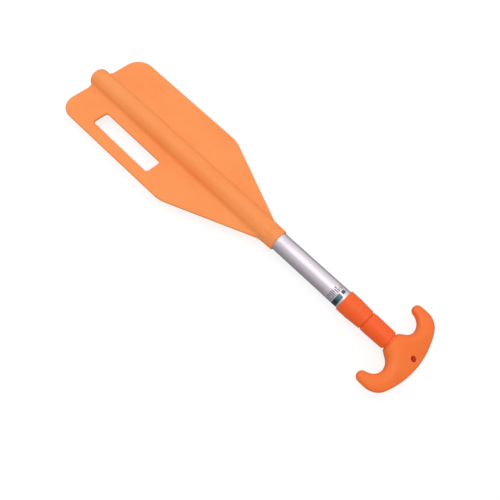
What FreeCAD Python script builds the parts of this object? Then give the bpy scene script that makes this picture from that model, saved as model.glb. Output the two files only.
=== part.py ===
"""A telescopic emergency oar: a moulded blade on an aluminium tube, and a hooked T grip on a
second tube that slides out of the first one.

Millimetres. +X runs along the shaft, from the blade's nose to the grip. The blade lies flat in
the XY plane and +Z is its front. The origin is on the shaft axis at half the stowed length.
Places along the shaft are stations: millimetres from the nose, with the oar stowed.
"""
import FreeCAD, Part
import math
import os
from FreeCAD import Vector

# ---- driving dimensions ------------------------------------------------------------------
LENGTH = 570.5              # nose to the outer edge of the grip, stowed

OUTER_R, OUTER_WALL = 12.5, 1.2          # outer tube, 25 mm across
INNER_R, INNER_WALL = 9.0, 1.2           # inner tube, 18 mm across
OUTER_BORE = OUTER_R - OUTER_WALL
INNER_BORE = INNER_R - INNER_WALL
RUN = 0.06                  # radial play of a sliding or turning fit

# stations of what shows along the shaft
BLADE_EDGE = 6.0            # the flat blade's end, behind the nose
SHOULDER = 211.5            # where the blade starts to narrow
TAPER_END = 342.0           # where the blade has run into the neck
NECK_MOUTH = 355.5
LOCK_START = 461.5
LOCK_SPLIT = 495.5          # end of the lock body's sleeve
NUT_START, NUT_END = 496.5, 529.0
GRIP_START = 531.0
STUB_START = 529.2          # end of the grip's stub, which reaches into the nut's recess

# blade
BLADE_T, BLADE_Z = 4.0, -1.2   # thickness, and its middle below the shaft axis
HALF_TIP, HALF_SHOULDER = 72.0, 69.7     # half widths
CORNER_R, SHOULDER_R = 24.0, 45.0
BLADE_RIM_R, FOOT_INSET = 1.7, 1.5
RIB_R, RIB_FOOT_R, NOSE_R = 15.0, 6.0, 4.0
NECK_R, NECK_START = 14.4, 330.0
SOCKET_FLOOR = 12.0
SLOT_START, SLOT_END = 59.5, 169.5       # hand slot
SLOT_NEAR, SLOT_FAR, SLOT_R = 31.0, 54.0, 4.0
SLOT_RIM_R = 1.2
BLADE_RIVETS = (20.0, 29.0)

# label film round the outer tube
LABEL_START, LABEL_END, LABEL_T = 437.0, 461.3, 0.15

# twist lock
OUTER_TUBE_END = 486.0
BODY_R, STEP_R, BODY_END_R = 14.2, 13.8, 12.9   # the sleeve, behind its step and at its end
BODY_STEP = 479.0
NUT_RIM_R, NUT_R, NUT_TAIL_R, NUT_END_R = 12.5, 12.9, 12.4, 12.0     # from the split to the grip
NUT_INSET, NUT_ROUND = 5.0, 1.0
LOCK_PIN_AT, LOCK_PIN_R, LOCK_PIN_END = 472.0, 1.5, 9.5
SPIGOT_R, SPIGOT_END = 11.3, 512.0       # carries the lock's thread
SEAT_START, SEAT_SMALL, SEAT_LARGE = 500.0, 9.9, 10.5    # cone the collet is pressed into
COLLET_START, COLLET_FLANGE, COLLET_END = 501.5, 512.6, 515.2
COLLET_FLANGE_R, COLLET_SLIT, COLLET_SLITS = 11.0, 1.0, 6
WASHER_END, NUT_SEAT = 516.2, 516.25     # the nut's inner face stands just off the washer
WIPER_START, WIPER_END, WIPER_R = 521.5, 524.5, 10.6
STUB_R, RECESS_START = 10.5, 526.5       # the grip's stub, and the recess in the nut's end for it
PLAY = 0.35                 # radial gap where parts pass without touching

# slider at the foot of the inner tube
SLIDER_START, SLIDER_END = 36.0, 54.0
INNER_START, INNER_END = 56.0, 553.0
PLUG_STUB_R = 7.5
PLUG_END = 80.0
PLUG_PIN_AT, PLUG_PIN_R = 61.0, 1.25
WASHER_FOOT_T, WASHER_FOOT_R = 1.5, 10.4
SCREW_HEAD_R, SCREW_HEAD_T, SCREW_R, SCREW_END = 3.6, 2.6, 1.9, 50.0
GUIDE_START = 442.0
FOAM_START, FOAM_END = 84.0, 526.0

# grip, seen from the front: arcs that touch one another
GRIP_HALF = 60.5                          # half span
GRIP_ARC_R = 120.0                        # outer edge
GRIP_SHOULDER_R, GRIP_SHOULDER_Y = 22.0, 39.0
HOOK_X, HOOK_Y, HOOK_R = 527.2, 31.0, 17.0   # the pocket inside each hook
TIP_X = 532.2
GRIP_NECK = 12.3
GRIP_T, GRIP_TIP_T = 11.9, 6.8            # half thickness, middle and tips
GRIP_EDGE_R = 5.0
LANYARD_AT, LANYARD_R = 560.5, 3.6
GRIP_RIVET_AT = 541.0

# blind rivets
RIVET_R, RIVET_HEAD_R, RIVET_HEAD_T, RIVET_TAIL_R, RIVET_TAIL = 2.0, 3.9, 1.1, 2.9, 2.6
RIVET_SINK = 0.2            # how far a head sits below the surface round it

X_AXIS, Y_AXIS, Z_AXIS = Vector(1, 0, 0), Vector(0, 1, 0), Vector(0, 0, 1)


def at(station):
    """X of a station."""
    return station - LENGTH / 2


def save(name, *solids):
    """Writes one node and prints its volume, so that a bad solid shows at once."""
    shape = solids[0] if len(solids) == 1 else Part.makeCompound(list(solids))
    shape.exportStep(os.path.join("parts", name + ".step"))
    good = all(s.isValid() and s.isClosed() for s in shape.Solids)
    print(f"{name:18s} {len(shape.Solids)} solid(s) {shape.Volume / 1000:8.2f} cm3 {'ok' if good else 'BAD'}")


def unit(vector):
    return Vector(vector).normalize()


def rounded_wire(corners):
    """Closed wire in XY through corners (x, y, radius), each rounded by its radius."""
    edges, last = [], None
    count = len(corners)
    joints = []
    for i in range(count):
        x, y, radius = corners[i]
        here = Vector(x, y, 0)
        back = unit(Vector(*corners[i - 1][:2], 0) - here)
        on = unit(Vector(*corners[(i + 1) % count][:2], 0) - here)
        if radius == 0:
            joints.append((here, None, here))
            continue
        half = back.getAngle(on) / 2
        reach = radius / math.tan(half)
        middle = here + unit(back + on) * (radius / math.sin(half) - radius)
        joints.append((here + back * reach, middle, here + on * reach))
    for i in range(count):
        start, middle, end = joints[i]
        last = joints[i - 1][2]
        if (start - last).Length > 1e-6:
            edges.append(Part.LineSegment(last, start).toShape())
        if middle is not None:
            edges.append(Part.Arc(start, middle, end).toShape())
    return Part.Wire(edges)


def plate(wire, bottom, top):
    """Solid between two heights with the outline of a wire in XY."""
    face = Part.Face(wire)
    face.translate(Vector(0, 0, bottom))
    return face.extrude(Vector(0, 0, top - bottom))


def turned(corners):
    """Solid of revolution about the shaft. Corners are (station, radius, rounding)."""
    wire = rounded_wire([(at(s), r, rounding) for s, r, rounding in corners])
    return Part.Face(wire).revolve(Vector(0, 0, 0), X_AXIS, 360)


def rod(start, end, radius):
    return Part.makeCylinder(radius, end - start, Vector(at(start), 0, 0), X_AXIS)


def ring(start, end, inner, outer, rounding=0.0):
    """Tube or bush with rounded rims."""
    return turned([(start, inner, 0), (start, outer, rounding), (end, outer, rounding), (end, inner, 0)])


def across(station, radius, bottom, top):
    """Cylinder through the shaft along Z."""
    return Part.makeCylinder(radius, top - bottom, Vector(at(station), 0, bottom), Z_AXIS)


def rivet(station, surface, bore):
    """Blind rivet set from the back: surface and bore are depths below the axis."""
    top = -surface + RIVET_SINK
    head = across(station, RIVET_HEAD_R, top, top + RIVET_HEAD_T)
    head = head.makeFillet(0.6, [e for e in head.Edges if abs(e.BoundBox.ZMax - top) < 1e-6])
    shank = across(station, RIVET_R, top, -bore + RIVET_TAIL / 2)
    tail = across(station, RIVET_TAIL_R, -bore, -bore + RIVET_TAIL)
    tail = tail.makeFillet(0.9, [e for e in tail.Edges if abs(e.BoundBox.ZMin + bore - RIVET_TAIL) < 1e-6])
    tail = tail.common(rod(station - RIVET_TAIL_R, station + RIVET_TAIL_R, bore))
    return head.fuse([shank, tail]).removeSplitter()


def rivet_hole(station, surface, bore):
    """What a rivet takes out of a wall: a sunk seat for the head and a hole for the shank."""
    seat = across(station, RIVET_HEAD_R + 0.15, -surface - 1, -surface + RIVET_SINK + RIVET_HEAD_T)
    return seat.fuse(across(station, RIVET_R, -surface - 1, -bore + 1))


# ---- blade -------------------------------------------------------------------------------
def blade_outline():
    half = [
        (at(BLADE_EDGE), HALF_TIP, CORNER_R),
        (at(SHOULDER), HALF_SHOULDER, SHOULDER_R),
        (at(TAPER_END), NECK_R - 1.5, 0),
    ]
    return half + [(x, -y, r) for x, y, r in reversed(half)]


def rib_section(face):
    """The rib above a blade face at this height, with its feet, seen along the shaft."""
    foot_z = face + RIB_FOOT_R
    foot_y = math.sqrt((RIB_R + RIB_FOOT_R) ** 2 - foot_z ** 2)
    lean = math.atan2(foot_z, foot_y)
    touch = Vector(0, RIB_R * math.cos(lean), RIB_R * math.sin(lean))
    middle_angle = (lean + math.pi / 2) / 2
    middle = Vector(0, foot_y - RIB_FOOT_R * math.cos(middle_angle),
                    foot_z - RIB_FOOT_R * math.sin(middle_angle))
    end = Vector(0, foot_y, face)
    mirror = lambda v: Vector(0, -v.y, v.z)
    crest = Vector(0, 0, RIB_R)
    inside = face - 1.0
    return Part.Wire([
        Part.Arc(end, middle, touch).toShape(),
        Part.Arc(touch, crest, mirror(touch)).toShape(),
        Part.Arc(mirror(touch), mirror(middle), mirror(end)).toShape(),
        Part.LineSegment(mirror(end), Vector(0, -foot_y, inside)).toShape(),
        Part.LineSegment(Vector(0, -foot_y, inside), Vector(0, foot_y, inside)).toShape(),
        Part.LineSegment(Vector(0, foot_y, inside), end).toShape(),
    ])


def blade():
    front, back = BLADE_Z + BLADE_T / 2, BLADE_Z - BLADE_T / 2
    panel = plate(rounded_wire(blade_outline()), back, front)
    rim = [e for e in panel.Edges if abs(e.BoundBox.ZMax - e.BoundBox.ZMin) < 1e-6
           and e.BoundBox.XMin < at(TAPER_END) - 1]
    panel = panel.makeFillet(BLADE_RIM_R, rim)

    slot = plate(rounded_wire([
        (at(SLOT_START), -SLOT_NEAR, SLOT_R),
        (at(SLOT_START), -SLOT_FAR, SLOT_R),
        (at(SLOT_END), -SLOT_FAR, SLOT_R),
        (at(SLOT_END), -SLOT_NEAR, SLOT_R),
    ]), back - 1, front + 1)
    panel = panel.cut(slot)
    inside_slot = [
        e for e in panel.Edges
        if abs(e.BoundBox.ZMax - e.BoundBox.ZMin) < 1e-6
        and e.BoundBox.XMin > at(SLOT_START) - 1 and e.BoundBox.XMax < at(SLOT_END) + 1
        and e.BoundBox.YMin > -SLOT_FAR - 1 and e.BoundBox.YMax < -SLOT_NEAR + 1
    ]
    panel = panel.makeFillet(SLOT_RIM_R, inside_slot)

    # the feet stand only where the blade's flat face is there to carry them
    inset = plate(rounded_wire([(x, y * (1 - FOOT_INSET / abs(y)), r) for x, y, r in blade_outline()]),
                  -RIB_R, RIB_R)
    feet = []
    for side, face in ((1, front), (-1, -back)):
        foot = Part.Face(rib_section(face)).extrude(X_AXIS * (TAPER_END - BLADE_EDGE))
        foot.translate(Vector(at(BLADE_EDGE), 0, 0))
        feet.append((foot if side > 0 else foot.mirror(Vector(0, 0, 0), Z_AXIS)).common(inset))

    rib = turned([
        (0, 0, 0), (0, RIB_R, NOSE_R), (NECK_START, RIB_R, 60),
        (NECK_MOUTH, NECK_R, 1.2), (NECK_MOUTH, 0, 0),
    ])
    body = panel.fuse(feet + [rib])
    body = body.cut(rod(SOCKET_FLOOR, NECK_MOUTH + 1, OUTER_R))
    for station in BLADE_RIVETS:
        body = body.cut(rivet_hole(station, RIB_R, OUTER_BORE))
    return body.removeSplitter()


# ---- fixed part of the shaft ---------------------------------------------------------------
def outer_tube():
    tube = ring(SOCKET_FLOOR, OUTER_TUBE_END, OUTER_BORE, OUTER_R, 0.4)
    for station in BLADE_RIVETS:
        tube = tube.cut(rivet_hole(station, RIB_R, OUTER_BORE))
    return tube.cut(lock_pin())


def lock_body():
    """Sleeve over the tube's end, then a spigot with the lock's thread and a cone inside it."""
    body = turned([
        (LOCK_START, OUTER_R, 0), (LOCK_START, BODY_R, 0.8),
        (BODY_STEP, BODY_R, 0.2), (BODY_STEP, STEP_R, 0.1), (BODY_STEP + 3, STEP_R, 12),
        (LOCK_SPLIT, BODY_END_R, 0.6),
        (LOCK_SPLIT, SPIGOT_R, 0), (SPIGOT_END, SPIGOT_R, 0.3),
        (SPIGOT_END, SEAT_LARGE, 0), (SEAT_START, SEAT_SMALL, 0),
        (SEAT_START, INNER_R + PLAY, 0), (OUTER_TUBE_END, INNER_R + PLAY, 0),
        (OUTER_TUBE_END, OUTER_R, 0),
    ])
    return body.cut(lock_pin())


def lock_pin():
    """Holds the lock body, the tube's end and the guide sleeve together, from the back."""
    return across(LOCK_PIN_AT, LOCK_PIN_R, -BODY_R + RIVET_SINK, -LOCK_PIN_END)


def guide_sleeve():
    return ring(GUIDE_START, OUTER_TUBE_END, INNER_R + RUN, OUTER_BORE, 0.5).cut(lock_pin())


def label():
    return ring(LABEL_START, LABEL_END, OUTER_R, OUTER_R + LABEL_T)


# ---- moving part of the lock -----------------------------------------------------------------
def collet():
    slope = (SEAT_LARGE - SEAT_SMALL) / (SPIGOT_END - SEAT_START)
    thin = SEAT_SMALL + slope * (COLLET_START - SEAT_START) - PLAY
    body = turned([
        (COLLET_START, INNER_R + RUN, 0), (COLLET_START, thin, 0),
        (SPIGOT_END, SEAT_LARGE - PLAY, 0), (COLLET_FLANGE, SEAT_LARGE - PLAY, 0),
        (COLLET_FLANGE, COLLET_FLANGE_R, 0.3), (COLLET_END, COLLET_FLANGE_R, 0.3),
        (COLLET_END, INNER_R + RUN, 0),
    ])
    half = COLLET_FLANGE_R + 1
    for i in range(COLLET_SLITS // 2):
        slit = Part.makeBox(COLLET_FLANGE + 1 - SEAT_START, 2 * half, COLLET_SLIT,
                            Vector(at(SEAT_START), -half, -COLLET_SLIT / 2))
        slit.rotate(Vector(0, 0, 0), X_AXIS, 360 / COLLET_SLITS * i)
        body = body.cut(slit)
    return body


def thrust_washer():
    return ring(COLLET_END, WASHER_END, INNER_R + PLAY, COLLET_FLANGE_R, 0.15)


def lock_nut():
    bore = SPIGOT_R + PLAY
    throat = INNER_R + PLAY
    return turned([
        (NUT_START, bore, 0), (NUT_START, NUT_RIM_R, 0.8), (NUT_START + NUT_INSET, NUT_R, 20),
        (NUT_END - NUT_INSET, NUT_TAIL_R, 20), (NUT_END, NUT_END_R, NUT_ROUND), (NUT_END, STUB_R + PLAY, 0),
        (RECESS_START, STUB_R + PLAY, 0), (RECESS_START, throat, 0),
        (WIPER_END, throat, 0), (WIPER_END, WIPER_R, 0), (WIPER_START, WIPER_R, 0), (WIPER_START, throat, 0),
        (NUT_SEAT, throat, 0), (NUT_SEAT, bore, 0),
    ])


def wiper_ring():
    return ring(WIPER_START, WIPER_END, INNER_R + RUN, WIPER_R)


# ---- inner tube and what it carries ------------------------------------------------------------
def inner_tube():
    tube = ring(INNER_START, INNER_END, INNER_BORE, INNER_R, 0.3)
    pin = Part.makeCylinder(PLUG_PIN_R, 2 * INNER_R + 2, Vector(at(PLUG_PIN_AT), -INNER_R - 1, 0), Y_AXIS)
    return tube.cut(pin).cut(rivet_hole(GRIP_RIVET_AT, GRIP_T, INNER_BORE))


def tube_plug():
    plug = turned([
        (SLIDER_START, 0, 0), (SLIDER_START, PLUG_STUB_R, 0.4), (SLIDER_END, PLUG_STUB_R, 0),
        (SLIDER_END, INNER_R, 0.3), (INNER_START, INNER_R, 0), (INNER_START, INNER_BORE, 0),
        (PLUG_END, INNER_BORE, 1.0), (PLUG_END, 0, 0),
    ])
    pin = Part.makeCylinder(PLUG_PIN_R, 2 * INNER_R, Vector(at(PLUG_PIN_AT), -INNER_R, 0), Y_AXIS)
    screw = rod(SLIDER_START - 1, SCREW_END, SCREW_R)
    return plug.cut(pin).cut(screw)


def plug_pin():
    half = INNER_R - 0.3
    pin = Part.makeCylinder(PLUG_PIN_R, 2 * half, Vector(at(PLUG_PIN_AT), -half, 0), Y_AXIS)
    return pin.makeChamfer(0.3, [pin.Edges[0], pin.Edges[2]])


def glide_bush():
    play = 0.3
    return ring(SLIDER_START + play, SLIDER_END - play, PLUG_STUB_R + RUN, OUTER_BORE - RUN, 0.8)


def foot_washer():
    return ring(SLIDER_START - WASHER_FOOT_T, SLIDER_START, SCREW_R, WASHER_FOOT_R, 0.3)


def foot_screw():
    under = SLIDER_START - WASHER_FOOT_T
    screw = turned([
        (under - SCREW_HEAD_T, 0, 0), (under - SCREW_HEAD_T, SCREW_HEAD_R, 1.6), (under, SCREW_HEAD_R, 0.2),
        (under, SCREW_R, 0), (SCREW_END - 1.6, SCREW_R, 0), (SCREW_END, 0, 0),
    ])
    for turn in (0, 90):
        cross = Part.makeBox(1.4, 4.0, 0.9, Vector(at(under - SCREW_HEAD_T), -2.0, -0.45))
        cross.rotate(Vector(0, 0, 0), X_AXIS, turn)
        screw = screw.cut(cross)
    return screw


def float_foam():
    return turned([
        (FOAM_START, 0, 0), (FOAM_START, INNER_BORE, 1.0), (FOAM_END, INNER_BORE, 1.0), (FOAM_END, 0, 0),
    ])


# ---- grip ----------------------------------------------------------------------------------------
def grip_outline():
    """The grip seen from the front: an outer arc, two shoulders, two hooks and the neck."""
    centre_x = LENGTH - GRIP_ARC_R
    reach = math.sqrt((GRIP_ARC_R - GRIP_SHOULDER_R) ** 2 - GRIP_SHOULDER_Y ** 2)
    shoulder = (centre_x + reach, GRIP_SHOULDER_Y)
    lean = math.atan2(GRIP_SHOULDER_Y, reach)

    # the tip's round touches the straight outer side and the pocket's circle
    rise = GRIP_HALF - HOOK_Y
    tip_r = ((TIP_X - HOOK_X) ** 2 + rise ** 2 - HOOK_R ** 2) / (2 * (HOOK_R + rise))
    tip = (TIP_X, GRIP_HALF - tip_r)
    into_pocket = math.atan2(tip[1] - HOOK_Y, tip[0] - HOOK_X)

    def on(centre, radius, angle):
        return Vector(at(centre[0] + radius * math.cos(angle)), centre[1] + radius * math.sin(angle), 0)

    pocket = (HOOK_X, HOOK_Y)
    leave = math.radians(-58)
    outer = on((centre_x, 0), GRIP_ARC_R, lean)
    top = on(shoulder, GRIP_SHOULDER_R, math.pi / 2)
    tip_top = on(tip, tip_r, math.pi / 2)
    tip_in = on(tip, tip_r, into_pocket + math.pi)
    pocket_end = on(pocket, HOOK_R, leave)
    neck = Vector(at(GRIP_START), GRIP_NECK, 0)

    def side(sign):
        flip = lambda v: Vector(v.x, sign * v.y, 0)
        return [
            Part.Arc(flip(outer), flip(on(shoulder, GRIP_SHOULDER_R, (lean + math.pi / 2) / 2)),
                     flip(top)).toShape(),
            Part.LineSegment(flip(top), flip(tip_top)).toShape(),
            Part.Arc(flip(tip_top), flip(on(tip, tip_r, (math.pi / 2 + into_pocket + math.pi) / 2)),
                     flip(tip_in)).toShape(),
            Part.Arc(flip(tip_in), flip(on(pocket, HOOK_R, (into_pocket + leave) / 2)),
                     flip(pocket_end)).toShape(),
            Part.LineSegment(flip(pocket_end), flip(neck)).toShape(),
        ]

    low = Vector(outer.x, -outer.y, 0)
    edges = [Part.Arc(low, Vector(at(LENGTH), 0, 0), outer).toShape()]
    edges += side(1)
    edges += [Part.LineSegment(neck, Vector(neck.x, -neck.y, 0)).toShape()]
    edges += side(-1)
    return Part.Wire(Part.__sortEdges__(edges))


def thickness_lens():
    """Bounds the grip's thickness: full in the middle, thinner towards the two tips."""
    half = GRIP_HALF + 2
    start = at(GRIP_START) - 20
    corner = lambda sy, sz: Vector(start, sy * half, sz * GRIP_TIP_T)
    wire = Part.Wire([
        Part.Arc(corner(-1, 1), Vector(start, 0, GRIP_T), corner(1, 1)).toShape(),
        Part.LineSegment(corner(1, 1), corner(1, -1)).toShape(),
        Part.Arc(corner(1, -1), Vector(start, 0, -GRIP_T), corner(-1, -1)).toShape(),
        Part.LineSegment(corner(-1, -1), corner(-1, 1)).toShape(),
    ])
    return Part.Face(wire).extrude(X_AXIS * 80)


def handle():
    body = plate(grip_outline(), -GRIP_T - 1, GRIP_T + 1).common(thickness_lens())
    rims = [e for e in body.Edges if abs(abs(e.CenterOfMass.z) - GRIP_T) < GRIP_T - GRIP_TIP_T + 0.5
            and abs(e.BoundBox.XMax - at(GRIP_START)) > 1e-6]
    body = body.makeFillet(GRIP_EDGE_R, rims)
    body = body.cut(across(LANYARD_AT, LANYARD_R, -GRIP_T, GRIP_T))
    body = body.fuse(rod(STUB_START, GRIP_START + 1, STUB_R)).removeSplitter()
    body = body.cut(rod(STUB_START - 1, INNER_END, INNER_R))
    return body.cut(rivet_hole(GRIP_RIVET_AT, GRIP_T, INNER_BORE))


os.makedirs("parts", exist_ok=True)
save("blade", blade())
save("blade_rivets", *[rivet(s, RIB_R, OUTER_BORE) for s in BLADE_RIVETS])
save("outer_tube", outer_tube())
save("label", label())
save("lock_body", lock_body())
save("lock_pin", lock_pin())
save("guide_sleeve", guide_sleeve())
save("collet", collet())
save("thrust_washer", thrust_washer())
save("lock_nut", lock_nut())
save("wiper_ring", wiper_ring())
save("glide_bush", glide_bush())
save("inner_tube", inner_tube())
save("tube_plug", tube_plug())
save("plug_pin", plug_pin())
save("foot_washer", foot_washer())
save("foot_screw", foot_screw())
save("float_foam", float_foam())
save("handle", handle())
save("handle_rivet", rivet(GRIP_RIVET_AT, GRIP_T, INNER_BORE))
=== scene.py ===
# %% [markdown]
# # A telescopic emergency oar
# The oar is a flat moulded blade on an aluminium tube, and a T grip on a second tube that slides
# out of the first. The exact shapes come from the CAD model, which this first cell loads as a
# frame. Everything is in metres: X runs from the blade to the grip, and Z is up, out of the
# blade's front. What Blender adds is the grip's soft form, the finishes, the light and the view.

# %% Load the frame
import bpy
import math
import numpy as np
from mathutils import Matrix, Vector


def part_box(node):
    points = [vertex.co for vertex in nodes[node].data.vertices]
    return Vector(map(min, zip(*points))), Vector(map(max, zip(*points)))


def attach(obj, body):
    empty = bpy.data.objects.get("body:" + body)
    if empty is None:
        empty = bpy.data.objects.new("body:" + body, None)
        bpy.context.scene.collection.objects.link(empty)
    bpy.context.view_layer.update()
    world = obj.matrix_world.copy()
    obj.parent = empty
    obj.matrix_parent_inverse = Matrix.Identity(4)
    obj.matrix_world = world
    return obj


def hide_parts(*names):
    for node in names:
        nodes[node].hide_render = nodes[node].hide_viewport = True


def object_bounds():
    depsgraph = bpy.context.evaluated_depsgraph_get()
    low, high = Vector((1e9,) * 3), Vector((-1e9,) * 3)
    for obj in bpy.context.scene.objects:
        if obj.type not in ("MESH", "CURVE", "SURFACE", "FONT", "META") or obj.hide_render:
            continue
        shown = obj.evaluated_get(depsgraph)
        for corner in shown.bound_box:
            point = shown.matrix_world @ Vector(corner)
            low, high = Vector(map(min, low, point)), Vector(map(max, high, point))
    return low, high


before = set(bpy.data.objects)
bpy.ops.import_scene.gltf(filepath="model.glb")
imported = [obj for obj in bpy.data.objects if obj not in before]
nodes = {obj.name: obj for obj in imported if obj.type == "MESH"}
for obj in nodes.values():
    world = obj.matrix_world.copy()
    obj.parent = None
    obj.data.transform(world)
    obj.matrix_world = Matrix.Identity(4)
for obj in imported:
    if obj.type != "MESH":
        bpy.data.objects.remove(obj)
cad_low, cad_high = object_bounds()
print("pieces from CAD:", len(nodes), "box", [round(v, 4) for v in cad_high - cad_low])

# %% [markdown]
# ## Small helpers
# An operator works on whatever is selected, and loading leaves every CAD piece selected. So each
# step starts from a clean selection. `only` makes one object the selected and active one, and
# `apply` turns a modifier into plain mesh.

# %% Selection helpers
def nothing_selected():
    if bpy.context.object and bpy.context.object.mode != "OBJECT":
        bpy.ops.object.mode_set(mode="OBJECT")
    bpy.ops.object.select_all(action="DESELECT")


def only(piece):
    nothing_selected()
    piece.select_set(True)
    bpy.context.view_layer.objects.active = piece


def apply(piece, kind, **settings):
    only(piece)
    modifier = piece.modifiers.new(kind.title(), kind)
    for name, value in settings.items():
        setattr(modifier, name, value)
    bpy.ops.object.modifier_apply(modifier=modifier.name)


nothing_selected()
print("selected pieces:", len(bpy.context.selected_objects))

# %% [markdown]
# ## The grip
# The real grip is one thick plastic moulding: a crescent with a hook at each end and a short neck
# that takes the inner tube. Its outline, seen from the front, is a chain of arcs that touch, closed
# by the straight neck. Its edges are rounded so far that an arm's section is nearly an oval.
#
# A subdivided box would give soft edges, but not these exact arcs, and a bevel this wide runs into
# itself at the hooks. So the outline is drawn first, filled and extruded to a plate. The plate is
# then covered with an even net of small faces, and the net is rounded as a carver would: the nearer
# a point is to the outline, the lower it goes.

# %% The grip's outline
low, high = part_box("handle")
MM = 0.001
OUTER_X = high.x                    # the outer edge, where the palm rests
NECK_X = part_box("lock_nut")[1].x + 2 * MM     # the neck stops short of the nut
half_span = high.y
ARC_R, SHOULDER_R, SHOULDER_Y = 120 * MM, 22 * MM, 39 * MM
POCKET_X, POCKET_Y, POCKET_R = OUTER_X - 43.3 * MM, 31 * MM, 17 * MM
TIP_X = OUTER_X - 38.3 * MM
NECK_HALF, POCKET_END = 12.3 * MM, math.radians(-58)      # where the pocket runs into the neck


def arc(centre, radius, start, end, steps):
    """Points on an arc in the XY plane, angles in radians."""
    return [
        (centre[0] + radius * math.cos(start + (end - start) * i / steps),
         centre[1] + radius * math.sin(start + (end - start) * i / steps), 0.0)
        for i in range(steps + 1)
    ]


arc_x = OUTER_X - ARC_R
reach = math.sqrt((ARC_R - SHOULDER_R) ** 2 - SHOULDER_Y ** 2)
lean = math.atan2(SHOULDER_Y, reach)
rise = half_span - POCKET_Y
tip_r = ((TIP_X - POCKET_X) ** 2 + rise ** 2 - POCKET_R ** 2) / (2 * (POCKET_R + rise))
tip = (TIP_X, half_span - tip_r)
into_pocket = math.atan2(tip[1] - POCKET_Y, tip[0] - POCKET_X)

upper = arc((arc_x, 0), ARC_R, 0, lean, 14)
upper += arc((arc_x + reach, SHOULDER_Y), SHOULDER_R, lean, math.pi / 2, 12)[1:]
upper += arc(tip, tip_r, math.pi / 2, into_pocket + math.pi, 14)
upper += arc((POCKET_X, POCKET_Y), POCKET_R, into_pocket, POCKET_END, 26)[1:]
upper += [(NECK_X, NECK_HALF, 0.0)]
outline = upper + [(x, -y, z) for x, y, z in reversed(upper[1:])]
print("outline points:", len(outline), "tip radius mm", round(tip_r / MM, 2))

# %% [markdown]
# The outline becomes a face. Moved down and extruded up, it is a plate as thick as the grip, with
# hard edges. Voxel remesh then lays the net of small faces over it, which gives every part of the
# surface enough points to be shaped.

# %% Fill, extrude and remesh the grip
COARSE_NET, FINE_NET = 0.8 * MM, 0.7 * MM
mesh = bpy.data.meshes.new("grip")
mesh.from_pydata(outline, [], [list(range(len(outline)))])
grip = bpy.data.objects.new("grip", mesh)
bpy.context.scene.collection.objects.link(grip)
only(grip)
bpy.ops.object.mode_set(mode="EDIT")
bpy.ops.mesh.select_mode(type="FACE")
bpy.ops.mesh.select_all(action="SELECT")
bpy.ops.transform.translate(value=(0, 0, low.z))
bpy.ops.mesh.extrude_region_move(TRANSFORM_OT_translate={"value": (0, 0, high.z - low.z)})
bpy.ops.mesh.select_all(action="SELECT")
bpy.ops.mesh.normals_make_consistent(inside=False)
bpy.ops.object.mode_set(mode="OBJECT")
apply(grip, "REMESH", mode="VOXEL", voxel_size=COARSE_NET)
print("grip faces:", len(grip.data.polygons))

# %% [markdown]
# A point near the outline has to sink, and a point on the arm's crest stays high. So the shape
# follows from one number: how far a point is from the outline. The height rises along a quarter
# circle over the first 13 mm, which makes an arm's section nearly oval. The arms also get thinner
# towards the hooks, and the palm side slopes down past the lanyard hole. No operator does that on
# an outline this curved, so numpy moves the points. A second remesh and a few passes of smoothing
# leave an even, soft surface.

# %% Round the section
ROUND, WALL = 13 * MM, 0.26         # width of the round, and the share of height left at the rim
THIN_FROM, THIN_OVER, THIN_BY = 6 * MM, 50 * MM, 0.42                   # arms, towards the tips
SLOPE_FROM, SLOPE_OVER, SLOPE_BY = OUTER_X - 30 * MM, 26 * MM, 0.34     # towards the outer edge
SMOOTH_BY, SMOOTH_TIMES = 0.5, 9

points = np.empty(len(grip.data.vertices) * 3)
grip.data.vertices.foreach_get("co", points)
points = points.reshape(-1, 3)
spot = np.stack([points[:, 0], abs(points[:, 1])], axis=1)[:, None, :]
rim = np.array(upper)[:, :2]
span = rim[1:] - rim[:-1]
along = np.clip(((spot - rim[:-1]) * span).sum(2) / (span ** 2).sum(1), 0, 1)
distance = np.linalg.norm(spot - rim[:-1] - along[:, :, None] * span, axis=2).min(1)
ease = 1 - np.clip(distance / ROUND, 0, 1)


def eased(value, start, length):
    """0 before start, 1 after start + length, and a soft step between."""
    step = np.clip((value - start) / length, 0, 1)
    return step ** 2 * (3 - 2 * step)


arms = THIN_BY * eased(abs(points[:, 1]), THIN_FROM, THIN_OVER)
palm = SLOPE_BY * eased(points[:, 0], SLOPE_FROM, SLOPE_OVER)
points[:, 2] *= (WALL + (1 - WALL) * np.sqrt(1 - ease ** 2)) * (1 - np.maximum(arms, palm))
grip.data.vertices.foreach_set("co", points.ravel())
apply(grip, "REMESH", mode="VOXEL", voxel_size=FINE_NET)
apply(grip, "SMOOTH", factor=SMOOTH_BY, iterations=SMOOTH_TIMES)
print("grip size mm:", [round(v / MM, 1) for v in grip.dimensions])

# %% [markdown]
# A short round stub joins the grip's neck to the nut's recess, and a socket for the inner tube is
# cut through it into the grip. A `BOOLEAN` needs a cutter that is closed and reaches past the wall
# it cuts, so the cutters start a little outside.

# %% Add the stub and cut the tube's socket
def rod(start, end, radius):
    """Cylinder along the shaft."""
    nothing_selected()
    bpy.ops.mesh.primitive_cylinder_add(
        vertices=96, radius=radius, depth=end - start,
        location=((start + end) / 2, 0, 0), rotation=(0, math.pi / 2, 0))
    return bpy.context.object


def combine(piece, operation, cutter):
    apply(piece, "BOOLEAN", operation=operation, object=cutter, solver="EXACT")
    bpy.data.objects.remove(cutter)


STUB_R, STUB_OUT, STUB_IN, PAST = 10.5 * MM, 1.8 * MM, 3 * MM, 5 * MM
tube_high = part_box("inner_tube")[1]
combine(grip, "UNION", rod(NECK_X - STUB_OUT, NECK_X + STUB_IN, STUB_R))
combine(grip, "DIFFERENCE", rod(NECK_X - PAST, tube_high.x, tube_high.y))
print("socket radius mm:", round(tube_high.y / MM, 2))

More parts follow.
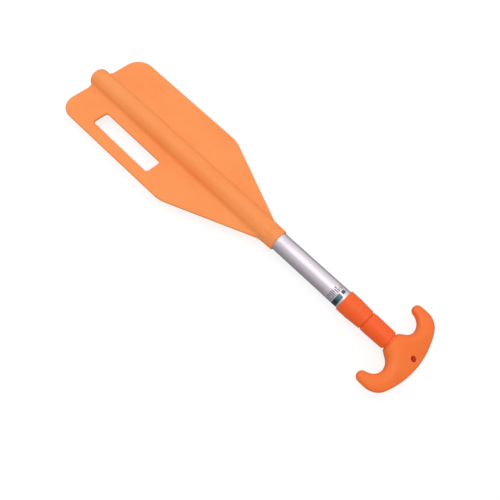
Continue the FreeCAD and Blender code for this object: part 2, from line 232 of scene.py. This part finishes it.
# %% [markdown]
# Two round holes go in last, so that their edges stay crisp: the lanyard hole and, on the back, a
# seat for the rivet's head. All but the sharp edges are then shaded smooth, and the finished grip
# takes the CAD handle's place and rides with the inner tube.

# %% Drill the lanyard hole and the rivet's seat
def drill(x, radius, bottom, top):
    """Round hole across the shaft, between two heights."""
    nothing_selected()
    bpy.ops.mesh.primitive_cylinder_add(
        vertices=64, radius=radius, depth=top - bottom, location=(x, 0, (bottom + top) / 2))
    combine(grip, "DIFFERENCE", bpy.context.object)


HOLE_X, HOLE_R = OUTER_X - 10.0 * MM, 3.6 * MM
HEAD_T, HEAD_GAP = 1.1 * MM, 0.15 * MM        # the rivet's head, and the gap round it
SHARP_FROM = math.radians(40)
drill(HOLE_X, HOLE_R, 2 * low.z, 2 * high.z)
rivet_low, rivet_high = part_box("handle_rivet")
drill((rivet_low.x + rivet_high.x) / 2, rivet_high.y + HEAD_GAP, 2 * low.z, rivet_low.z + HEAD_T)
only(grip)
bpy.ops.object.shade_smooth_by_angle(angle=SHARP_FROM)
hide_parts("handle")
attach(grip, "grip_shaft")
print("grip triangles:", sum(len(f.vertices) - 2 for f in grip.data.polygons))

# %% [markdown]
# ## Tools for the finishes
# Colours are given as on a screen, 0 to 255, and turned into the linear values that Blender works
# in. Half a screen value is only about a fifth of the light, so the step can't be left out.

# %% Screen colours
def screen(red, green, blue):
    """Linear colour from screen values."""
    def linear(value):
        value /= 255
        return value / 12.92 if value <= 0.04045 else ((value + 0.055) / 1.055) ** 2.4
    return (linear(red), linear(green), linear(blue), 1.0)


print("half grey is", round(screen(128, 128, 128)[0], 3))

# %% [markdown]
# A material is a tree of nodes. `Tree` keeps the cells below short: `add` makes a node and sets its
# values by name, and `link` joins two sockets. `math`, `noise`, `band` and `mix` are the four kinds
# of node that come back again and again.

# %% A short way to write node trees
class Tree:
    def __init__(self, tree):
        self.tree = tree

    def add(self, kind, **values):
        node = self.tree.nodes.new(kind)
        for name, value in values.items():
            if hasattr(node, name):
                setattr(node, name, value)
            else:
                node.inputs[name.replace("_", " ")].default_value = value
        return node

    def link(self, source, target):
        self.tree.links.new(source, target)

    def math(self, operation, first, second=None, third=None, clamp=False):
        node = self.tree.nodes.new("ShaderNodeMath")
        node.operation, node.use_clamp = operation, clamp
        for socket, value in zip(node.inputs, (first, second, third)):
            if hasattr(value, "is_output"):
                self.link(value, socket)
            elif value is not None:
                socket.default_value = value
        return node.outputs[0]

    def noise(self, vector, scale, detail=3.0, stretch=(1, 1, 1)):
        mapping = self.add("ShaderNodeMapping", Scale=stretch)
        self.link(vector, mapping.inputs["Vector"])
        node = self.add("ShaderNodeTexNoise", Scale=scale, Detail=detail)
        self.link(mapping.outputs[0], node.inputs["Vector"])
        return node.outputs["Fac"]

    def band(self, value, low_end, high_end, low_out=0.0, high_out=1.0):
        """Maps a value from one span to another and holds it at the ends."""
        node = self.add("ShaderNodeMapRange", clamp=True)
        ends = {"From Min": low_end, "From Max": high_end, "To Min": low_out, "To Max": high_out}
        for name, item in ends.items():
            node.inputs[name].default_value = item
        self.link(value, node.inputs["Value"])
        return node.outputs[0]

    def mix(self, mask, first, second):
        """Colour from first to second as the mask goes from 0 to 1."""
        node = self.add("ShaderNodeMix", data_type="RGBA")
        for number, value in ((0, mask), (6, first), (7, second)):      # 6 and 7 take colours
            if hasattr(value, "is_output"):
                self.link(value, node.inputs[number])
            else:
                node.inputs[number].default_value = value
        return node.outputs[2]


print("tools:", [name for name in vars(Tree) if not name.startswith("_")])

# %% [markdown]
# A node group is one node with a tree inside, which several materials can share. Its sockets are
# made on its interface, each with a name, a type and, if need be, a value to start from.

# %% Make a node group
def new_group(name, inputs, outputs):
    """Node group with typed sockets. Returns its tree tools and its input and output nodes."""
    group = bpy.data.node_groups.new(name, "ShaderNodeTree")
    for direction, sockets in (("INPUT", inputs), ("OUTPUT", outputs)):
        for label, kind, *value in sockets:
            socket = group.interface.new_socket(
                label, in_out=direction, socket_type="NodeSocket" + kind)
            if value:
                socket.default_value = value[0]
    tree = Tree(group)
    return tree, tree.add("NodeGroupInput"), tree.add("NodeGroupOutput")


# %% [markdown]
# ## Moulded plastic, as a group
# Blade, lock and grip are the same kind of plastic in three colours. Such a moulding is never one
# flat colour: pigment swirls a little, the surface has a fine grain from the mould, and handling
# leaves pale rubs. Noise of several sizes does that. The group puts out a colour, a roughness and
# a normal, and each material feeds it its own numbers.

# %% Group: moulded plastic, its colour
SWIRL, SPECKLE, RUBS, RUBBED_AREA = 22, 900, 260, 30      # noise scales: waves in a metre
SWIRL_SHARE, SPECKLE_SHARE = 0.7, 0.12
moulded, source, sink = new_group(
    "moulded_plastic",
    [("Vector", "Vector"), ("Colour", "Color"), ("Swirl Colour", "Color"), ("Rub Colour", "Color"),
     ("Rub", "Float", 0.2), ("Roughness", "Float", 0.4), ("Grain", "Float", 0.2)],
    [("Colour", "Color"), ("Roughness", "Float"), ("Normal", "Vector")])
place = source.outputs["Vector"]
swirl = moulded.band(moulded.noise(place, SWIRL, 4, (0.5, 1, 1)), 0.35, 0.65)
speckle = moulded.band(moulded.noise(place, SPECKLE, 2), 0.3, 0.7)
rub = moulded.band(moulded.noise(place, RUBS, 6, (0.25, 1, 1)), 0.60, 0.74)
rubbed = moulded.band(moulded.noise(place, RUBBED_AREA, 2), 0.50, 0.66)
rub = moulded.math("MULTIPLY", rub, rubbed)
rub = moulded.math("MULTIPLY", rub, source.outputs["Rub"])
colour, swirl_colour = source.outputs["Colour"], source.outputs["Swirl Colour"]
body = moulded.mix(moulded.math("MULTIPLY", swirl, SWIRL_SHARE), colour, swirl_colour)
body = moulded.mix(moulded.math("MULTIPLY", speckle, SPECKLE_SHARE), body, swirl_colour)
moulded.link(moulded.mix(rub, body, source.outputs["Rub Colour"]), sink.inputs["Colour"])
print("sockets:", [item.name for item in moulded.tree.interface.items_tree])

# %% [markdown]
# A rub is rougher as well as paler. Two bumps give the surface: the mould's fine grain, and slow
# hollows where thick plastic has sunk as it cooled.

# %% Group: moulded plastic, its roughness and bumps
UNEVEN, GRAIN, HOLLOWS = 60, 1900, 45                     # noise scales
RUB_ROUGHENS, GRAIN_HEIGHT, HOLLOW_DEPTH, HOLLOW_STRENGTH = 0.35, 0.06 * MM, 0.4 * MM, 0.25
uneven = moulded.band(moulded.noise(place, UNEVEN, 3), 0.3, 0.7, -0.05, 0.07)
rough = moulded.math("ADD", source.outputs["Roughness"], uneven)
rough = moulded.math("ADD", rough, moulded.math("MULTIPLY", rub, RUB_ROUGHENS), clamp=True)
moulded.link(rough, sink.inputs["Roughness"])
fine = moulded.add("ShaderNodeBump", Distance=GRAIN_HEIGHT)
moulded.link(moulded.noise(place, GRAIN, 2), fine.inputs["Height"])
moulded.link(source.outputs["Grain"], fine.inputs["Strength"])
sunk = moulded.add("ShaderNodeBump", Distance=HOLLOW_DEPTH, Strength=HOLLOW_STRENGTH)
moulded.link(moulded.noise(place, HOLLOWS, 2), sunk.inputs["Height"])
moulded.link(fine.outputs["Normal"], sunk.inputs["Normal"])
moulded.link(sunk.outputs["Normal"], sink.inputs["Normal"])
print("moulded plastic nodes:", len(moulded.tree.nodes))

# %% [markdown]
# ## Metal that was drawn or turned
# A tube is pulled through a die, which leaves fine lines along it. A washer or a rivet has rings
# or no lines at all. Noise that is stretched along one axis gives lines, and the stretch is an
# input of the group.

# %% Group: worked metal
LINES, HAZE, NICKS = 1500, 40, 420                        # noise scales
HAZE_DULLS, NICK_DULLS, LINES_DULL, HAZE_ROUGHENS = 0.35, 0.6, 0.3, 0.08
LINE_HEIGHT = 0.02 * MM
metal, source, sink = new_group(
    "worked_metal",
    [("Vector", "Vector"), ("Colour", "Color"), ("Dull Colour", "Color"),
     ("Stretch", "Vector", (1, 1, 1)), ("Roughness", "Float", 0.25), ("Lines", "Float", 0.2)],
    [("Colour", "Color"), ("Roughness", "Float"), ("Normal", "Vector")])
stretched = metal.add("ShaderNodeVectorMath", operation="MULTIPLY")
metal.link(source.outputs["Vector"], stretched.inputs[0])
metal.link(source.outputs["Stretch"], stretched.inputs[1])
lines = metal.noise(stretched.outputs[0], LINES, 3)
haze = metal.band(metal.noise(source.outputs["Vector"], HAZE, 4), 0.35, 0.7)
nick = metal.band(metal.noise(source.outputs["Vector"], NICKS, 2, (0.15, 1, 1)), 0.70, 0.76)
dull = metal.math("MULTIPLY", haze, HAZE_DULLS)
dull = metal.math("MAXIMUM", dull, metal.math("MULTIPLY", nick, NICK_DULLS))
dull = metal.math("MAXIMUM", dull, metal.math("MULTIPLY", lines, LINES_DULL))
shade = metal.mix(dull, source.outputs["Colour"], source.outputs["Dull Colour"])
metal.link(shade, sink.inputs["Colour"])
rough = metal.math("ADD", source.outputs["Roughness"], metal.band(lines, 0.3, 0.7, -0.05, 0.08))
rough = metal.math("ADD", rough, metal.math("MULTIPLY", haze, HAZE_ROUGHENS))
metal.link(rough, sink.inputs["Roughness"])
bump = metal.add("ShaderNodeBump", Distance=LINE_HEIGHT)
metal.link(lines, bump.inputs["Height"])
metal.link(source.outputs["Lines"], bump.inputs["Strength"])
metal.link(bump.outputs["Normal"], sink.inputs["Normal"])
print("sockets:", [item.name for item in metal.tree.interface.items_tree])

# %% [markdown]
# ## A material from a group
# Every finish below is made alike: object coordinates go into a group, and the group's outputs go
# into the shader. What is the same all over, such as the coat or the index of refraction, is set
# on the shader itself.

# %% Make a material and paint pieces with it
def start_material(name):
    material = bpy.data.materials.new(name)
    material.use_nodes = True
    tree = Tree(material.node_tree)
    shader = material.node_tree.nodes["Principled BSDF"]
    place = tree.add("ShaderNodeTexCoord").outputs["Object"]
    return material, tree, shader, place


def finish_from(name, group, settings, shader_values):
    material, tree, shader, place = start_material(name)
    box = tree.add("ShaderNodeGroup", node_tree=group.tree)
    tree.link(place, box.inputs["Vector"])
    for label, value in settings.items():
        box.inputs[label].default_value = value
    for label, value in shader_values.items():
        shader.inputs[label].default_value = value
    tree.link(box.outputs["Colour"], shader.inputs["Base Color"])
    tree.link(box.outputs["Roughness"], shader.inputs["Roughness"])
    tree.link(box.outputs["Normal"], shader.inputs["Normal"])
    return material


def paint(material, *pieces):
    for piece in pieces:
        piece.data.materials.clear()
        piece.data.materials.append(material)
        print(piece.name, "->", material.name)


# %% [markdown]
# ## The plastics
# The blade is a pale orange, since it is thin and lets some light through. The lock is nearly red,
# and the grip lies between the two. A light coat gives the soft, wide highlight of new
# polyethylene.

# %% The three orange plastics
blade_plastic = finish_from(
    "blade_plastic", moulded,
    {"Colour": screen(253, 144, 68), "Swirl Colour": screen(254, 156, 82),
     "Rub Colour": screen(255, 180, 130), "Rub": 0.30, "Roughness": 0.48, "Grain": 0.25},
    {"Coat Weight": 0.22, "Coat Roughness": 0.34, "IOR": 1.48, "Specular IOR Level": 0.40})
lock_plastic = finish_from(
    "lock_plastic", moulded,
    {"Colour": screen(253, 88, 8), "Swirl Colour": screen(253, 102, 22),
     "Rub Colour": screen(255, 140, 84), "Rub": 0.22, "Roughness": 0.42, "Grain": 0.10},
    {"Coat Weight": 0.25, "Coat Roughness": 0.28, "IOR": 1.48, "Specular IOR Level": 0.35})
grip_plastic = finish_from(
    "grip_plastic", moulded,
    {"Colour": screen(252, 110, 24), "Swirl Colour": screen(252, 122, 38),
     "Rub Colour": screen(255, 166, 110), "Rub": 0.30, "Roughness": 0.44, "Grain": 0.20},
    {"Coat Weight": 0.28, "Coat Roughness": 0.30, "IOR": 1.48, "Specular IOR Level": 0.40})
paint(blade_plastic, nodes["blade"])
paint(lock_plastic, nodes["lock_body"], nodes["lock_nut"])
paint(grip_plastic, grip, nodes["handle"])

# %% [markdown]
# Inside the tubes, the bearings are black acetal, the wiper ring is matt rubber, and the foam is
# off-white and all grain. They are the same group with other numbers.

# %% Hidden plastics, rubber and foam
bearing_plastic = finish_from(
    "bearing_plastic", moulded,
    {"Colour": screen(38, 39, 42), "Swirl Colour": screen(52, 53, 57),
     "Rub Colour": screen(110, 110, 112), "Rub": 0.5, "Roughness": 0.35, "Grain": 0.15},
    {"Coat Weight": 0.05, "IOR": 1.48})
seal_rubber = finish_from(
    "seal_rubber", moulded,
    {"Colour": screen(24, 24, 25), "Swirl Colour": screen(34, 34, 35),
     "Rub Colour": screen(90, 90, 90), "Rub": 0.6, "Roughness": 0.72, "Grain": 0.5},
    {"Coat Weight": 0.0, "IOR": 1.52})
foam = finish_from(
    "foam", moulded,
    {"Colour": screen(232, 229, 218), "Swirl Colour": screen(214, 210, 198),
     "Rub Colour": screen(245, 243, 236), "Rub": 0.4, "Roughness": 0.85, "Grain": 0.9},
    {"Coat Weight": 0.0, "IOR": 1.4})

paint(bearing_plastic, nodes["guide_sleeve"], nodes["collet"])
paint(bearing_plastic, nodes["glide_bush"], nodes["tube_plug"])
paint(seal_rubber, nodes["wiper_ring"])
paint(foam, nodes["float_foam"])

# %% [markdown]
# ## The metals
# The tubes are clear anodised aluminium with lines along X, so their noise is drawn out along X.
# The steel pieces were turned, so theirs is drawn out across it. A metal reflects less at a grazing
# angle once it is anodised, and the specular tint sets that.

# %% Metal materials
ALLOY = {"Colour": screen(234, 225, 233), "Dull Colour": screen(204, 196, 204),
         "Stretch": (0.03, 1, 1), "Roughness": 0.36, "Lines": 0.22}
tube_alloy = finish_from(
    "tube_alloy", metal, ALLOY, {"Metallic": 1.0, "Specular Tint": screen(205, 205, 210)})
rivet_alloy = finish_from(
    "rivet_alloy", metal,
    {"Colour": screen(204, 204, 208), "Dull Colour": screen(150, 150, 155),
     "Stretch": (1, 1, 1), "Roughness": 0.36, "Lines": 0.30},
    {"Metallic": 1.0})
steel = finish_from(
    "steel", metal,
    {"Colour": screen(186, 188, 192), "Dull Colour": screen(130, 132, 136),
     "Stretch": (1, 0.15, 0.15), "Roughness": 0.28, "Lines": 0.30},
    {"Metallic": 1.0})
paint(tube_alloy, nodes["outer_tube"], nodes["inner_tube"])
paint(rivet_alloy, nodes["blade_rivets"], nodes["handle_rivet"], nodes["lock_pin"])
paint(steel, nodes["thrust_washer"], nodes["foot_washer"], nodes["foot_screw"], nodes["plug_pin"])

# %% [markdown]
# ## The label
# A clear printed film is wrapped once round the tube beside the lock, so the metal shows through
# between the marks. The print is unrolled in the material: the distance along the tube is one axis
# and the angle round the tube is the other. Under the print is the same metal as on the tube.

# %% Unroll the film
label_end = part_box("label")[1].x
label_film, tree, shader, place = start_material("label_film")
under = tree.add("ShaderNodeGroup", node_tree=metal.tree)
tree.link(place, under.inputs["Vector"])
for label, value in ALLOY.items():
    under.inputs[label].default_value = value
split = tree.add("ShaderNodeSeparateXYZ")
tree.link(place, split.inputs[0])
along = tree.math("MULTIPLY", tree.math("SUBTRACT", label_end, split.outputs["X"]), 1 / MM)
around = tree.math("ARCTAN2", tree.math("MULTIPLY", split.outputs["Y"], -1), split.outputs["Z"])
around = tree.math("MULTIPLY", around, 180 / math.pi)
print("the film ends at x mm:", round(label_end / MM, 2))

# %% [markdown]
# The print is generic: a dark panel, a small square, and smudged rows of bars with no lettering.
# Each mark is a mask, white inside a rectangle with soft edges. The rows come from `PINGPONG`,
# which swings up and down as the angle grows.

# %% The marks, as masks
SOFT_MM, SOFT_DEG = 0.4, 2                      # width of a mark's soft edge
BAR_TURN, BAR_FROM, BAR_FULL = 11.0, 1.4, 3.6   # degrees from bar to bar, and a bar's soft edge
SMUDGE = 430                                    # noise scale


def patch(low_mm, high_mm, low_deg, high_deg):
    """Mask of a rectangle: millimetres from the lock, and degrees from the front."""
    starts = tree.band(along, low_mm - SOFT_MM, low_mm)
    ends = tree.band(along, high_mm, high_mm + SOFT_MM, 1, 0)
    lengthwise = tree.math("MULTIPLY", starts, ends)
    starts = tree.band(around, low_deg - SOFT_DEG, low_deg)
    ends = tree.band(around, high_deg, high_deg + SOFT_DEG, 1, 0)
    return tree.math("MULTIPLY", lengthwise, tree.math("MULTIPLY", starts, ends))


rows = tree.band(tree.math("PINGPONG", around, BAR_TURN / 2), BAR_FROM, BAR_FULL)
smudge = tree.band(tree.noise(place, SMUDGE, 2, (1, 0.6, 0.6)), 0.36, 0.52)
bars = tree.math("MULTIPLY", rows, smudge)
near_bars = tree.math("MULTIPLY", bars, patch(9.4, 17.5, 4, 112))
far_bars = tree.math("MULTIPLY", bars, patch(4.0, 16, -78, -24))
middle_bars = tree.math("MULTIPLY", smudge, patch(9.8, 13, -30, 6))
square = patch(4.2, 8.0, -18, 4)
panel = patch(2.2, 8.4, 16, 116)
print("label nodes so far:", len(tree.tree.nodes))

# %% [markdown]
# The marks are put together, the darkest winning, and mixed over the metal. Round the tube the
# panel
# fades from pale to dark: a painted highlight near the top, and painted shade towards the -Y side,
# over the panel's dark print. Ink isn't metal, so the same mask also lowers `Metallic`.

# %% Print the marks, with painted highlight and shade on the panel
# The two panel colours are its dark print lit and in shade: a painted highlight and painted shade.
INK, PANEL_PAINTED_LIT, PANEL_PAINTED_SHADED = screen(50, 45, 82), screen(88, 140, 150), screen(16, 36, 56)
ink = tree.math("MULTIPLY", near_bars, 0.85)
for mark, darkness in ((square, 0.92), (far_bars, 0.45), (middle_bars, 0.42)):
    ink = tree.math("MAXIMUM", ink, tree.math("MULTIPLY", mark, darkness))
film_colour = tree.mix(ink, under.outputs["Colour"], INK)
# Painted shade: the panel goes from its painted highlight at 16 degrees round the tube to dark at
# 60, towards the -Y side.
painted_panel_shade = tree.band(around, 16, 60)
film_colour = tree.mix(panel, film_colour, tree.mix(painted_panel_shade, PANEL_PAINTED_LIT, PANEL_PAINTED_SHADED))
tree.link(film_colour, shader.inputs["Base Color"])
inked = tree.math("MAXIMUM", ink, panel)
tree.link(tree.band(inked, 0, 1, 1, 0), shader.inputs["Metallic"])
tree.link(under.outputs["Roughness"], shader.inputs["Roughness"])
tree.link(under.outputs["Normal"], shader.inputs["Normal"])
shader.inputs["Coat Weight"].default_value = 0.15
shader.inputs["Coat Roughness"].default_value = 0.2
paint(label_film, nodes["label"])

# %% [markdown]
# ## Check the set
# The CAD pieces keep the meshes and the shading that they were loaded with. Only their finish is
# new, so this list shows that none was left out.

# %% List the pieces
for name, node in sorted(nodes.items()):
    print(f"{name:16s} {len(node.data.polygons):7d} faces, material {node.data.materials[0].name}")

# %% [markdown]
# ## Floor, light and view
# The oar lies on its rib on a white studio floor, which glows a little so that shadows stay faint.
# The `Light Path` node tells what kind of ray has hit the floor. A mirrored ray meets a floor that
# is nearly dark, so bright metal gets a darker edge, without which it wouldn't look like metal.
# From below the floor is clear, to let the oar's back be seen.

# %% Floor
FLOOR_SIZE, FLOOR_GAP = 8, 0.2 * MM
FLOOR_SEEN, FLOOR_GLOW, FLOOR_MIRRORED = 0.80, 0.40, 0.10     # to the camera, as light, in metal
nothing_selected()
bpy.ops.mesh.primitive_plane_add(size=FLOOR_SIZE, location=(0, 0, cad_low.z - FLOOR_GAP))
floor = bpy.context.object
floor.name = "studio_floor"
white_floor, tree, shader, _ = start_material("white_floor")
shader.inputs["Base Color"].default_value = (0.25, 0.25, 0.25, 1)
shader.inputs["Roughness"].default_value = 0.9
shader.inputs["Specular IOR Level"].default_value = 0.0
shader.inputs["Emission Color"].default_value = (1, 1, 1, 1)
ray = tree.add("ShaderNodeLightPath")
glow = tree.band(ray.outputs["Is Glossy Ray"], 0, 1, FLOOR_GLOW, FLOOR_MIRRORED)
glow = tree.math("MULTIPLY_ADD", ray.outputs["Is Camera Ray"], FLOOR_SEEN - FLOOR_GLOW, glow)
tree.link(glow, shader.inputs["Emission Strength"])
one_way = tree.add("ShaderNodeMixShader")
tree.link(tree.add("ShaderNodeNewGeometry").outputs["Backfacing"], one_way.inputs[0])
tree.link(shader.outputs[0], one_way.inputs[1])
tree.link(tree.add("ShaderNodeBsdfTransparent").outputs[0], one_way.inputs[2])
tree.link(one_way.outputs[0], white_floor.node_tree.nodes["Material Output"].inputs["Surface"])
paint(white_floor, floor)

# %% [markdown]
# Plain light from the sky is even all round, so that the orange stays flat and clean. A mirrored
# ray meets a sky that is bright above and grey near the horizon, which shades the sides of the
# tube. The `Standard` view keeps the strong orange from washing out.

# %% Sky
SKY_SEEN, SKY_LIGHT, HORIZON_MIRRORED, ZENITH_MIRRORED = 1.0, 0.71, 0.48, 0.78
world = bpy.data.worlds.new("studio_sky")
bpy.context.scene.world = world
world.use_nodes = True
tree = Tree(world.node_tree)
sky = world.node_tree.nodes["Background"]
split = tree.add("ShaderNodeSeparateXYZ")
tree.link(tree.add("ShaderNodeTexCoord").outputs["Generated"], split.inputs[0])
ray = tree.add("ShaderNodeLightPath")
mirrored = tree.band(
    split.outputs["Z"], 0.0, 0.9, HORIZON_MIRRORED - SKY_LIGHT, ZENITH_MIRRORED - SKY_LIGHT)
strength = tree.math("MULTIPLY_ADD", mirrored, ray.outputs["Is Glossy Ray"], SKY_LIGHT)
strength = tree.math("MULTIPLY_ADD", ray.outputs["Is Camera Ray"], SKY_SEEN - SKY_LIGHT, strength)
tree.link(strength, sky.inputs["Strength"])
sky.inputs["Color"].default_value = (1.0, 1.0, 1.0, 1.0)
bpy.context.scene.view_settings.view_transform = "Standard"
print("sky nodes:", len(tree.tree.nodes))

# %% [markdown]
# A lamp is placed by where it stands and what it looks at. `to_track_quat` turns a direction into
# a rotation: a lamp shines along its own -Z. The key lamp is a long soft box over the oar, which
# draws one soft line of light along the tube and the rib. The fill lamp stands on the far side.

# %% Lamps
def lamp(name, place, target, size, power):
    light = bpy.data.lights.new(name, "AREA")
    light.shape, light.size, light.size_y, light.energy = "RECTANGLE", *size, power
    stand = bpy.data.objects.new(name, light)
    bpy.context.scene.collection.objects.link(stand)
    stand.location = place
    stand.rotation_euler = (Vector(target) - Vector(place)).to_track_quat("-Z", "Y").to_euler()
    print(name, "at", place, "watts", power)


lamp("key_lamp", place=(-0.5, -0.10, 1.50), target=(-0.5, 0, 0), size=(2.8, 1.1), power=8.5)
lamp("fill_lamp", place=(-0.3, 1.0, 0.9), target=(0, 0, 0), size=(1.6, 1.6), power=2.0)

# %% [markdown]
# The camera stands high over the grip's end, on the slot's side, and looks down and back along the
# oar, which brings the grip near and lets the blade shrink away.

# %% Camera
view = bpy.data.cameras.new("view")
view.lens, view.sensor_width = 32.4, 36.0
view.clip_start, view.clip_end = 0.01, 20
camera = bpy.data.objects.new("view", view)
bpy.context.scene.collection.objects.link(camera)
camera.location = (0.18724, -0.23586, 0.49226)
camera.rotation_euler = (math.radians(25.53), math.radians(-5.38), math.radians(44.56))
bpy.context.scene.camera = camera
print("camera lens mm:", round(view.lens, 1))

# %% [markdown]
# ## Size
# The CAD model's box is printed in the first cell, when the frame is loaded.
